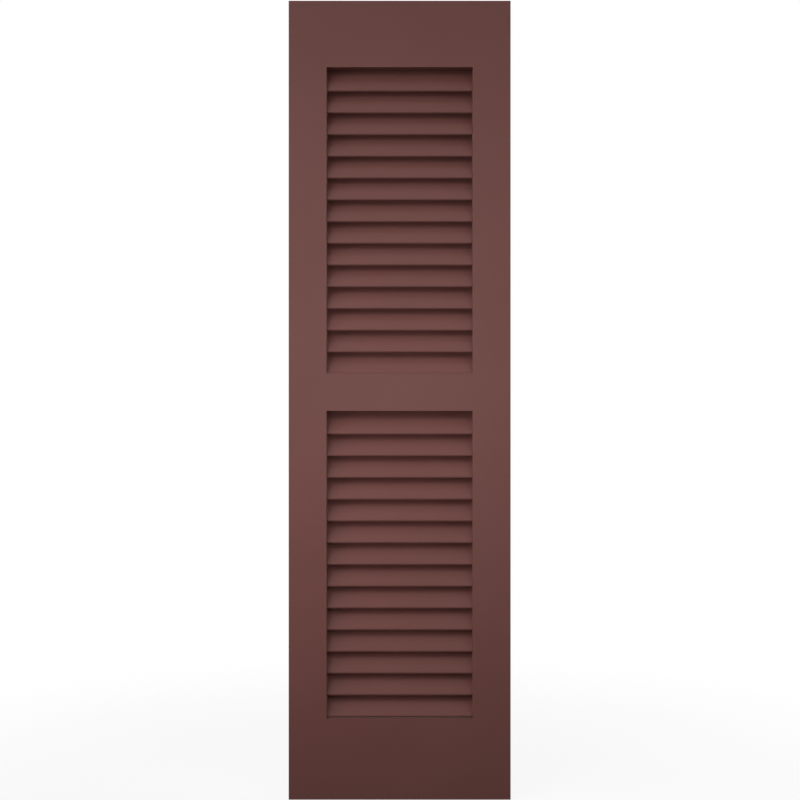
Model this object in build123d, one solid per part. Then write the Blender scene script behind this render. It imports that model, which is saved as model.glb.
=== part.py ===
from build123d import *

import os
from math import cos, radians, tan

# Exterior shutter leaf with fixed louvers, for the wall beside a window.
#
# Two stiles and three rails, flush on both faces, frame two openings of nearly equal height.
# A bank of flat louvers with arched long edges fills each opening. Every louver slopes forward
# and down, so that it sheds rain, and hangs below the upper edge of the next, so that nobody
# sees through the bank from the ground. The louver ends sit in sloping mortises in the stiles,
# the first louver of a bank is let into the rail above it, and the rails end in tenons that fill
# blind mortises in the stiles. Nothing moves.
#
# Millimetres. +Z is up. The finished face looks along -Y, and the back face lies on Y = 0,
# against the wall. The origin is on the back face, at the middle of the width and height.

# The leaf
LEAF_WIDTH = 381.0
LEAF_HEIGHT = 1371.6
LEAF_THICKNESS = 38.1
EDGE_ROUND = 0.5

# Its frame
STILE_WIDTH = 65.1
TOP_RAIL_HEIGHT = 114.2
MIDDLE_RAIL_HEIGHT = 64.9
BOTTOM_RAIL_HEIGHT = 139.25
MIDDLE_RAIL_CENTRE = 699.75  # its centre line above the foot of the leaf

# Rail tenons in the stiles
TENON_LENGTH = 38.0
TENON_THICKNESS = 12.7
TENON_SHOULDER = 14.0  # rail left above and below the tenon
TENON_SIDE_GAP = 0.1
TENON_END_GAP = 0.8

# Louvers, which span the leaf's thickness between their setbacks from its two faces
LOUVER_THICKNESS = 6.35
LOUVER_EDGE_BULGE = 2.2  # how far a long edge arches out past the flat faces
LOUVER_TILT = 58.0  # degrees that a louver rises from its front edge to its back edge
LOUVER_FRONT_SETBACK = 5.0
LOUVER_BACK_SETBACK = 3.8
LOUVER_OVERLAP = 5.4  # aimed height by which a louver's front edge hides the next one's top
LOUVER_END_DEPTH = 8.0  # length of louver inside each stile
MORTISE_SIDE_GAP = 0.1
MORTISE_END_GAP = 0.4

# Where a bank starts and ends
UPPER_HEAD_SEAT = 2.45  # depth that the upper bank's first louver is let into the top rail
LOWER_HEAD_SEAT = 1.85  # depth that the lower bank's first louver is let into the middle rail
UPPER_SILL_SEAT = 2.0  # depth that the upper bank's last louver is let into the middle rail
LOWER_SILL_GAP = 0.35  # from the lower bank's last louver to the bottom rail
GROOVE_GAP = 0.2  # all round a louver where it is let into a rail

# Places that follow from the sizes above
FOOT_Z = -LEAF_HEIGHT / 2
HEAD_Z = LEAF_HEIGHT / 2
FRONT_Y = -LEAF_THICKNESS
MIDDLE_Y = -LEAF_THICKNESS / 2
OPENING_WIDTH = LEAF_WIDTH - 2 * STILE_WIDTH
MIDDLE_RAIL_Z = FOOT_Z + MIDDLE_RAIL_CENTRE
ACROSS = (-OPENING_WIDTH / 2, OPENING_WIDTH / 2)
THROUGH = (FRONT_Y, 0)

# Each rail's bottom and top
RAILS = {
    "top_rail": (HEAD_Z - TOP_RAIL_HEIGHT, HEAD_Z),
    "middle_rail": (MIDDLE_RAIL_Z - MIDDLE_RAIL_HEIGHT / 2, MIDDLE_RAIL_Z + MIDDLE_RAIL_HEIGHT / 2),
    "bottom_rail": (FOOT_Z, FOOT_Z + BOTTOM_RAIL_HEIGHT),
}

# Each opening's sill and head, and the top and bottom of the bank of louvers in it
OPENINGS = {
    "upper": (RAILS["middle_rail"][1], RAILS["top_rail"][0]),
    "lower": (RAILS["bottom_rail"][1], RAILS["middle_rail"][0]),
}
BANKS = {
    "upper": (OPENINGS["upper"][0] - UPPER_SILL_SEAT, OPENINGS["upper"][1] + UPPER_HEAD_SEAT),
    "lower": (OPENINGS["lower"][0] + LOWER_SILL_GAP, OPENINGS["lower"][1] + LOWER_HEAD_SEAT),
}

# A louver as it lies in the leaf: its depth and rise, its width along the slope, and its middle.
# The run lies between the centres of the two arched edges.
LOUVER_EDGE_RADIUS = (LOUVER_THICKNESS**2 / 4 + LOUVER_EDGE_BULGE**2) / (2 * LOUVER_EDGE_BULGE)
LOUVER_DEPTH = LEAF_THICKNESS - LOUVER_FRONT_SETBACK - LOUVER_BACK_SETBACK
LOUVER_RUN = LOUVER_DEPTH - 2 * LOUVER_EDGE_RADIUS
LOUVER_RISE = LOUVER_RUN * tan(radians(LOUVER_TILT)) + 2 * LOUVER_EDGE_RADIUS
LOUVER_WIDTH = LOUVER_RUN / cos(radians(LOUVER_TILT)) + 2 * LOUVER_EDGE_RADIUS
LOUVER_Y = FRONT_Y + LOUVER_FRONT_SETBACK + LOUVER_DEPTH / 2


def block(x, y, z):
    """A box from its (low, high) span along each axis."""
    size = [high - low for low, high in (x, y, z)]
    centre = [(high + low) / 2 for low, high in (x, y, z)]
    return Pos(*centre) * Box(*size)


def louver_heights(opening):
    """The height of each louver's middle, evenly spaced from the top of the bank down."""
    low, high = BANKS[opening]
    first, last = high - LOUVER_RISE / 2, low + LOUVER_RISE / 2
    steps = max(1, round((first - last) / (LOUVER_RISE - LOUVER_OVERLAP)))
    return [first + (last - first) * step / steps for step in range(steps + 1)]


def louver_outline(clearance=0.0):
    """A louver's section lying flat: two straight faces between two arched edges."""
    tip = LOUVER_WIDTH / 2 + clearance
    corner = tip - LOUVER_EDGE_BULGE
    face = LOUVER_THICKNESS / 2 + clearance
    edges = [
        Line((-corner, face), (corner, face)),
        ThreePointArc((corner, face), (tip, 0), (corner, -face)),
        Line((corner, -face), (-corner, -face)),
        ThreePointArc((-corner, -face), (-tip, 0), (-corner, face)),
    ]
    return make_face(edges)


def louver_bar(z, half_length, clearance=0.0):
    """A sloping bar with the louver's section, centred across the leaf: a louver, or the hollow
    that it lies in where a clearance is given all round."""
    section = Plane.YZ * Pos(LOUVER_Y, z) * Rot(0, 0, LOUVER_TILT) * louver_outline(clearance)
    return extrude(section, half_length, both=True)


def louver(z):
    """One louver, long enough to reach into both stiles."""
    return louver_bar(z, OPENING_WIDTH / 2 + LOUVER_END_DEPTH)


def leaf_blank():
    """The flush frame as if in one piece, with both openings cut and the arrises eased."""
    outside = Pos(0, MIDDLE_Y, 0) * Box(LEAF_WIDTH, LEAF_THICKNESS, LEAF_HEIGHT)
    blank = fillet(outside.edges(), EDGE_ROUND)
    for opening in OPENINGS.values():
        blank -= block(ACROSS, THROUGH, opening)
    front, back = blank.faces().sort_by(Axis.Y)[0], blank.faces().sort_by(Axis.Y)[-1]
    rims = [edge for face in (front, back) for rim in face.inner_wires() for edge in rim.edges()]
    return fillet(rims, EDGE_ROUND)


def tenon_block(rail, side_gap=0.0, end_gap=0.0):
    """Both tenons of a rail and the stretch between them, or the mortises for them."""
    low, high = RAILS[rail]
    reach = OPENING_WIDTH / 2 + TENON_LENGTH + end_gap
    half_thickness = TENON_THICKNESS / 2 + side_gap
    return block(
        (-reach, reach),
        (MIDDLE_Y - half_thickness, MIDDLE_Y + half_thickness),
        (low + TENON_SHOULDER - side_gap, high - TENON_SHOULDER + side_gap),
    )


def rail(name, blank):
    """A rail between the stiles, with a tenon at each end and grooves for the louvers that are
    let into it."""
    body = blank & block(ACROSS, THROUGH, RAILS[name])
    for opening in OPENINGS:
        heights = louver_heights(opening)
        body -= [louver_bar(z, OPENING_WIDTH / 2, GROOVE_GAP) for z in (heights[0], heights[-1])]
    return body + tenon_block(name)


def stile(side, blank):
    """A stile over the leaf's full height: side is -1 on the viewer's left and 1 on the right."""
    span = sorted((side * OPENING_WIDTH / 2, side * LEAF_WIDTH / 2))
    body = blank & block(span, THROUGH, (FOOT_Z, HEAD_Z))
    for name in RAILS:
        body -= tenon_block(name, TENON_SIDE_GAP, TENON_END_GAP)
    mortise_reach = OPENING_WIDTH / 2 + LOUVER_END_DEPTH + MORTISE_END_GAP
    for opening in OPENINGS:
        body -= [louver_bar(z, mortise_reach, MORTISE_SIDE_GAP) for z in louver_heights(opening)]
    return body


def make_parts():
    """Every piece of the leaf, by name."""
    blank = leaf_blank()
    pieces = {"left_stile": stile(-1, blank), "right_stile": stile(1, blank)}
    for name in RAILS:
        pieces[name] = rail(name, blank)
    for opening in OPENINGS:
        for number, z in enumerate(louver_heights(opening), start=1):
            pieces[f"{opening}_louver_{number:02d}"] = louver(z)
    return pieces


os.makedirs("parts", exist_ok=True)
for node, shape in make_parts().items():
    export_step(shape, f"parts/{node}.step")
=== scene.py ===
from math import cos, radians, sin

import bpy
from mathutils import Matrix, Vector


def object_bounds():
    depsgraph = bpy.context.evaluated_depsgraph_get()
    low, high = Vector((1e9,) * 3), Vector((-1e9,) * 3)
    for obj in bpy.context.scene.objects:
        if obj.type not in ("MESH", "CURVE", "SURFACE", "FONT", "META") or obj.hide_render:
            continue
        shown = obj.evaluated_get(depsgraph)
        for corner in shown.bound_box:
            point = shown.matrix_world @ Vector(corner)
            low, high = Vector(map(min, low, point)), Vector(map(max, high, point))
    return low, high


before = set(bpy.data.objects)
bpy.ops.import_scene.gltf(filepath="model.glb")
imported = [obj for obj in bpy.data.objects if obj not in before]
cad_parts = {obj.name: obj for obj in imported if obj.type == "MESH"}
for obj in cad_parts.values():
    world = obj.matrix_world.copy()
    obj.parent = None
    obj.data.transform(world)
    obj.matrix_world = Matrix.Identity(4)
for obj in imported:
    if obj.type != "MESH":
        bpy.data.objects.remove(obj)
cad_low, cad_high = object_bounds()

# Stiles and rails: sawn from smooth cellular PVC board, an inch and a half thick, and glued up
# with blind tenons. The joints were filled and sanded flush before the whole leaf was sprayed,
# so no joint line shows.
BOARD_PLANER_STEP = 0.004  # m between the lines of the planer
BOARD_PLANER_DEPTH = 0.000004


def linear(hex_colour):
    """The linear colour of an sRGB hex value."""
    parts = [int(hex_colour[i:i + 2], 16) / 255 for i in (1, 3, 5)]
    return [c / 12.92 if c <= 0.04045 else ((c + 0.055) / 1.055) ** 2.4 for c in parts] + [1.0]


def add(tree, kind, place, settings=None, links=None):
    """Adds a node: settings are its properties or socket values, links its inputs' sources."""
    node = tree.nodes.new(kind)
    node.location = place
    for name, value in (settings or {}).items():
        if hasattr(node, name):
            setattr(node, name, value)
        else:
            node.inputs[name].default_value = value
    for name, source in (links or {}).items():
        tree.links.new(source, node.inputs[name])
    return node


def paint(name, line_direction, line_spacing, line_depth):
    """Satin acrylic enamel, sprayed: an even dark red-brown with a soft broad sheen.

    Up close the coat has the fine dimples of sprayed enamel, and the lines that the planer left
    in the board or bar show faintly through it, across line_direction.
    """
    material = bpy.data.materials.new(name)
    material.use_nodes = True
    tree = material.node_tree
    shader = tree.nodes["Principled BSDF"]
    shader.inputs["IOR"].default_value = 1.5
    shader.inputs["Specular IOR Level"].default_value = 0.15
    place = add(tree, "ShaderNodeTexCoord", (-1200, 0)).outputs["Object"]

    # The coat's colour drifts a little where the spray passes overlap, about a hand apart
    spray_pass = 0.12
    clouds = add(tree, "ShaderNodeTexNoise", (-900, 300), {"Scale": 1 / spray_pass, "Detail": 2.0},
                 {"Vector": place})
    tone = add(tree, "ShaderNodeMix", (-500, 300), {"data_type": "RGBA"},
               {"Factor": clouds.outputs["Fac"]})
    tone.inputs["A"].default_value = linear("#66413c")
    tone.inputs["B"].default_value = linear("#6c4642")
    tree.links.new(tone.outputs["Result"], shader.inputs["Base Color"])

    # Its sheen drifts with it, a little glossier where the coat is wetter
    sheen = add(tree, "ShaderNodeMapRange", (-500, 0), {"To Min": 0.44, "To Max": 0.50},
                {"Value": clouds.outputs["Fac"]})
    tree.links.new(sheen.outputs["Result"], shader.inputs["Roughness"])

    # The planer's lines, with a wander in them. A wave texture of scale 1 has a band each 0.314 m
    band = 0.314
    lines = add(tree, "ShaderNodeTexWave", (-900, -600),
                {"bands_direction": line_direction, "Scale": band / line_spacing, "Distortion": 1.5},
                {"Vector": place})
    ripple = add(tree, "ShaderNodeBump", (-500, -600), {"Strength": 1.0, "Distance": line_depth},
                 {"Height": lines.outputs["Fac"]})

    # Sprayed enamel dries with dimples 2 mm across, a hundredth of a millimetre deep
    dimple, dimple_depth = 0.002, 0.00001
    peel = add(tree, "ShaderNodeTexNoise", (-900, -300), {"Scale": 1 / dimple, "Detail": 1.0},
               {"Vector": place})
    skin = add(tree, "ShaderNodeBump", (-300, -300), {"Strength": 1.0, "Distance": dimple_depth},
               {"Height": peel.outputs["Fac"], "Normal": ripple.outputs["Normal"]})
    tree.links.new(skin.outputs["Normal"], shader.inputs["Normal"])
    return material


upright_board = paint("sprayed_pvc_board_upright", "X", BOARD_PLANER_STEP, BOARD_PLANER_DEPTH)
level_board = paint("sprayed_pvc_board_level", "Z", BOARD_PLANER_STEP, BOARD_PLANER_DEPTH)
for node in ("left_stile", "right_stile"):
    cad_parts[node].material_slots[0].material = upright_board
for node in ("top_rail", "middle_rail", "bottom_rail"):
    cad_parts[node].material_slots[0].material = level_board

# Louvers: bars planed from the same PVC to a quarter inch, with their long edges rounded over.
# Their ends are glued into sloping mortises in the stiles, and they got the same spray coat.
BAR_PLANER_STEP = 0.0025
BAR_PLANER_DEPTH = 0.000006
bar = paint("sprayed_pvc_louver", "Z", BAR_PLANER_STEP, BAR_PLANER_DEPTH)
for name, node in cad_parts.items():
    if "louver" in name:
        node.material_slots[0].material = bar

# Studio floor: a wide sheet of matt paper that the leaf's foot stands on. The camera and the gloss
# see it white, with the leaf's soft shadow round the foot, and it throws little light up, as a
# floor under black cloth does.
FLOOR_SIZE = 12.0
SHADE_ENDS = (0.75, 1.5)  # m from the leaf's middle, where the sheet's shade starts and stops fading
PLAIN_SHARE = 0.88  # the plain white in the sheet's look near the foot, beside the lit paper


def seen_directly(tree, place):
    """One where the camera, a reflection or a clear surface sees the material, and zero elsewhere."""
    path = add(tree, "ShaderNodeLightPath", place)
    either = add(tree, "ShaderNodeMath", (place[0] + 200, place[1]), {"operation": "MAXIMUM"},
                 {0: path.outputs["Is Camera Ray"], 1: path.outputs["Is Glossy Ray"]})
    any_of_them = add(tree, "ShaderNodeMath", (place[0] + 400, place[1]), {"operation": "MAXIMUM"},
                      {0: either.outputs[0], 1: path.outputs["Is Transmission Ray"]})
    return any_of_them.outputs[0]


half = FLOOR_SIZE / 2
foot = cad_low[2]
corners = [(-half, -half, foot), (half, -half, foot), (half, half, foot), (-half, half, foot)]
mesh = bpy.data.meshes.new("floor")
mesh.from_pydata(corners, [], [(0, 1, 2, 3)])
floor = bpy.data.objects.new("floor", mesh)
bpy.context.scene.collection.objects.link(floor)

pale = bpy.data.materials.new("pale_paper")
pale.use_nodes = True
tree = pale.node_tree
matt = tree.nodes["Principled BSDF"]
matt.inputs["Roughness"].default_value = 0.9
matt.inputs["Specular IOR Level"].default_value = 0.0
seen = seen_directly(tree, (-1200, 400))
tone = add(tree, "ShaderNodeMix", (-300, 100), {"data_type": "RGBA"}, {"Factor": seen})
tone.inputs["A"].default_value = linear("#404040")
tone.inputs["B"].default_value = linear("#f4f4f4")
tree.links.new(tone.outputs["Result"], matt.inputs["Base Color"])

# The shade shows only near the foot, and a stride away the sheet is plain white
white = add(tree, "ShaderNodeEmission", (0, -300), {"Strength": 1.0})
place = add(tree, "ShaderNodeTexCoord", (-1200, 700)).outputs["Object"]
way = add(tree, "ShaderNodeVectorMath", (-900, 700), {"operation": "LENGTH"}, {0: place})
fade = add(tree, "ShaderNodeMapRange", (-500, 700),
           {"interpolation_type": "SMOOTHSTEP", "From Min": SHADE_ENDS[0], "From Max": SHADE_ENDS[1],
            "To Min": PLAIN_SHARE, "To Max": 1.0},
           {"Value": way.outputs["Value"]})
share = add(tree, "ShaderNodeMath", (-100, 500), {"operation": "MULTIPLY"},
            {0: seen, 1: fade.outputs["Result"]})
mix = add(tree, "ShaderNodeMixShader", (300, 0),
          links={0: share.outputs[0], 1: matt.outputs[0], 2: white.outputs[0]})
tree.links.new(mix.outputs[0], tree.nodes["Material Output"].inputs["Surface"])
floor.data.materials.append(pale)

# Studio air: white to the camera and in reflections, as a white cove behind the leaf would be, with
# next to no light of its own, so that the lamps alone shape the leaf
GLOW = 0.005
world = bpy.data.worlds.new("studio")
bpy.context.scene.world = world
world.use_nodes = True
tree = world.node_tree
dim = tree.nodes["Background"]
dim.inputs["Color"].default_value = (1, 1, 1, 1)
dim.inputs["Strength"].default_value = GLOW
bright = add(tree, "ShaderNodeBackground", (0, -200), {"Strength": 1.0})
bright.inputs["Color"].default_value = (1, 1, 1, 1)
mix = add(tree, "ShaderNodeMixShader", (300, 0),
          links={0: seen_directly(tree, (-600, 300)), 1: dim.outputs[0], 2: bright.outputs[0]})
tree.links.new(mix.outputs[0], tree.nodes["World Output"].inputs["Surface"])

# Studio lamps: a soft box high on the viewer's left and one overhead, gridded ones round the front
# that brighten the leaf's middle more than its ends, a small warm one low on the left for the
# redder cast there, and two for the back and the right edge
FRONT_Y = cad_low[1]


def soft_box(name, azimuth, height, watts, distance=1.6, aim_height=0.0, size=(0.8, 0.8), beam=180,
             colour="#ffffff"):
    """A rectangular lamp aimed at the leaf's middle line, aim_height above or below its middle.

    Its azimuth is 0 before the front and negative on the viewer's left. A beam narrower than 180
    degrees stands for a grid on the soft box.
    """
    lamp = bpy.data.lights.new(name, "AREA")
    lamp.shape = "RECTANGLE"
    lamp.size, lamp.size_y = size
    lamp.energy = watts
    lamp.color = linear(colour)[:3]
    lamp.spread = radians(beam)
    box = bpy.data.objects.new(name, lamp)
    turn = radians(azimuth)
    box.location = (distance * sin(turn), FRONT_Y - distance * cos(turn), height)
    aim = Vector((0, FRONT_Y, aim_height)) - box.location
    box.rotation_euler = aim.to_track_quat("-Z", "Y").to_euler()
    bpy.context.scene.collection.objects.link(box)


soft_box("high_left", azimuth=-35, height=1.4, watts=3.85)
soft_box("overhead", azimuth=0, height=1.5, watts=2.35, distance=0.6, aim_height=0.2, size=(0.8, 0.4))
soft_box("gridded_side", azimuth=-70, height=0.37, watts=1.45, beam=75)
soft_box("gridded_left", azimuth=-35, height=0.8, watts=1.85, beam=75)
soft_box("gridded_right", azimuth=35, height=0.8, watts=1.45, beam=75)
soft_box("gridded_middle", azimuth=0, height=0.0, watts=0.8, distance=1.2, size=(0.3, 0.3), beam=100)
for side, azimuth, watts in (("left", -58, 1.1), ("front", -20, 0.75), ("right", 65, 1.05)):
    soft_box(f"gridded_far_{side}", azimuth, height=-0.26, watts=watts, distance=4.99, aim_height=-0.02,
             size=(1.0, 0.8), beam=33)
soft_box("warm_low", azimuth=-70, height=-0.3, watts=0.3, distance=0.8, aim_height=-0.35,
         size=(0.4, 0.6), beam=80, colour="#ffa088")
soft_box("behind", azimuth=180, height=0.9, watts=16.0, distance=1.7, size=(1.5, 1.5))
soft_box("edge_right", azimuth=100, height=0.6, watts=9.0, distance=1.8)

# Camera: square on to the leaf at half its height, about two and a quarter metres away, with a lens
# that fills the picture's height with the leaf. It stands a hair off the middle, as the photograph
# is framed.
CAMERA_DISTANCE = 2.28
CAMERA_RIGHT, CAMERA_UP = 0.0006, 0.0004
LENS = 59.78  # mm, on a sensor 36 mm wide
camera = bpy.data.objects.new("camera", bpy.data.cameras.new("camera"))
camera.data.sensor_width = 36
camera.data.lens = LENS
camera.location = (CAMERA_RIGHT, FRONT_Y - CAMERA_DISTANCE, CAMERA_UP)
camera.rotation_euler = (radians(90), 0, 0)
bpy.context.scene.collection.objects.link(camera)
bpy.context.scene.camera = camera
bpy.context.scene.view_settings.view_transform = "Standard"
